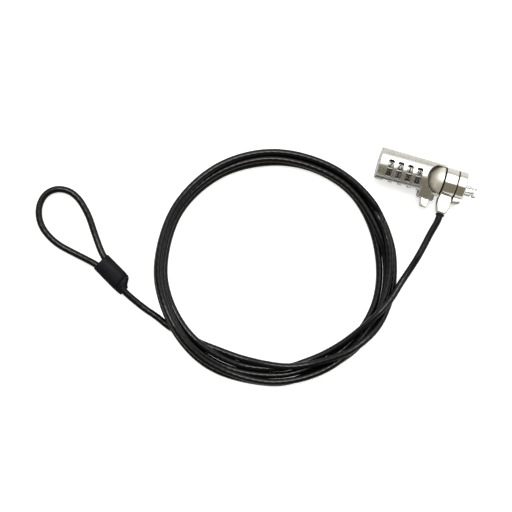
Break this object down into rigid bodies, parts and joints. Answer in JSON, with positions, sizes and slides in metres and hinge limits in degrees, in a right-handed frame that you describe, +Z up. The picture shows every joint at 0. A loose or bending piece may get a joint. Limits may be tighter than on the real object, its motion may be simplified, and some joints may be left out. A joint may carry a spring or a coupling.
{
  "type": "laptop cable lock",
  "caption": "Combination cable lock for a computer's security slot: dial barrel with push button, folding and swivelling head with locking hooks, coiled black cable ending in a loop.",
  "frame": {"origin": "middle of the lock body's footprint, on the surface it lies on, measured without its cable", "axes": "+X along the barrel towards the locking hooks, -Y towards the push button and the cable lug, +Z up"},
  "size_m": [0.2496, 0.1584, 0.0191],
  "materials": {
    "satin_nickel": "satin nickel plate with fine turning marks",
    "head_nickel": "semi-bright nickel plate",
    "polished_nickel": "polished nickel plate",
    "steel": "plain machined steel",
    "brass": "machined brass",
    "dial_metal": "satin grey plate with dark inlaid numbers",
    "aluminium": "pressed, dull",
    "black_nylon": "moulded, fine grain",
    "black_vinyl": "glossy extruded vinyl over stranded steel rope",
    "sleeve_vinyl": "satin shrunk vinyl with small folds"
  },
  "bodies": {
    "root": {"swivel_collar": "polished_nickel", "cable_end_ferrule": "aluminium", "cable_grommet": "black_nylon", "cable_lead": "black_vinyl", "cable_coil": "black_vinyl", "cable_tail": "black_vinyl", "cable_eye": "black_vinyl", "crimp_ferrule": "aluminium", "crimp_sleeve": "sleeve_vinyl"},
    "head": {"head_core": "head_nickel", "rear_washer": "black_nylon", "front_washer": "black_nylon", "front_cap": "polished_nickel", "hook_fixed": "steel", "hook_pin": "steel"},
    "bolt": {"lock_pin": "steel", "pull_cable": "steel"},
    "hook": {"hook_moving": "steel"},
    "barrel": {"barrel_shell": "satin_nickel", "end_cap": "satin_nickel", "reset_screw": "steel", "wave_washer": "steel", "click_spring": "steel", "dial_spacer_1": "steel", "dial_spacer_2": "steel", "dial_spacer_3": "steel", "pivot_pin_left": "steel", "pivot_pin_right": "steel", "spindle_spring": "steel"},
    "spindle": {"spindle": "brass"},
    "button": {"push_button": "polished_nickel", "button_fork": "steel"},
    "dial_1": {"dial_1": "dial_metal", "dial_hub_1": "brass"},
    "dial_2": {"dial_2": "dial_metal", "dial_hub_2": "brass"},
    "dial_3": {"dial_3": "dial_metal", "dial_hub_3": "brass"},
    "dial_4": {"dial_4": "dial_metal", "dial_hub_4": "brass"}
  },
  "joints": [
    {"name": "collar_swivel", "type": "hinge", "parent": "root", "child": "head", "pos_m": [0.0132, 0.00547, 0.00955], "axis": [1, 0, 0], "continuous": true},
    {"name": "head_pivot", "type": "hinge", "parent": "head", "child": "barrel", "pos_m": [0.0076, 0.00547, 0.00955], "axis": [0, 1, 0], "range_deg": [0, 90]},
    {"name": "dial_1_turn", "type": "hinge", "parent": "barrel", "child": "dial_1", "pos_m": [-0.02354, 0.00547, 0.00955], "axis": [1, 0, 0], "continuous": true},
    {"name": "dial_2_turn", "type": "hinge", "parent": "barrel", "child": "dial_2", "pos_m": [-0.01776, 0.00547, 0.00955], "axis": [1, 0, 0], "continuous": true},
    {"name": "dial_3_turn", "type": "hinge", "parent": "barrel", "child": "dial_3", "pos_m": [-0.01198, 0.00547, 0.00955], "axis": [1, 0, 0], "continuous": true},
    {"name": "dial_4_turn", "type": "hinge", "parent": "barrel", "child": "dial_4", "pos_m": [-0.0062, 0.00547, 0.00955], "axis": [1, 0, 0], "continuous": true},
    {"name": "button_press", "type": "slide", "parent": "barrel", "child": "button", "axis": [0, 1, 0], "range_m": [0, 0.0022], "stiffness_N_per_m": 300, "springref_m": -0.0005},
    {"name": "spindle_slide", "type": "slide", "parent": "barrel", "child": "spindle", "axis": [-1, 0, 0], "range_m": [0, 0.001], "deforming": ["spindle_spring"]},
    {"name": "bolt_slide", "type": "slide", "parent": "head", "child": "bolt", "axis": [-1, 0, 0], "range_m": [0, 0.001]},
    {"name": "hook_close", "type": "hinge", "parent": "head", "child": "hook", "pos_m": [0.02055, 0.00768, 0.00955], "axis": [0, 0, -1], "range_deg": [0, 5.3]}
  ],
  "couplings": [
    {"joint": "spindle_slide", "follows": "button_press", "ratio": 0.4545},
    {"joint": "bolt_slide", "follows": "button_press", "ratio": 0.4545},
    {"joint": "hook_close", "follows": "button_press", "rad_per_m": 42}
  ]
}
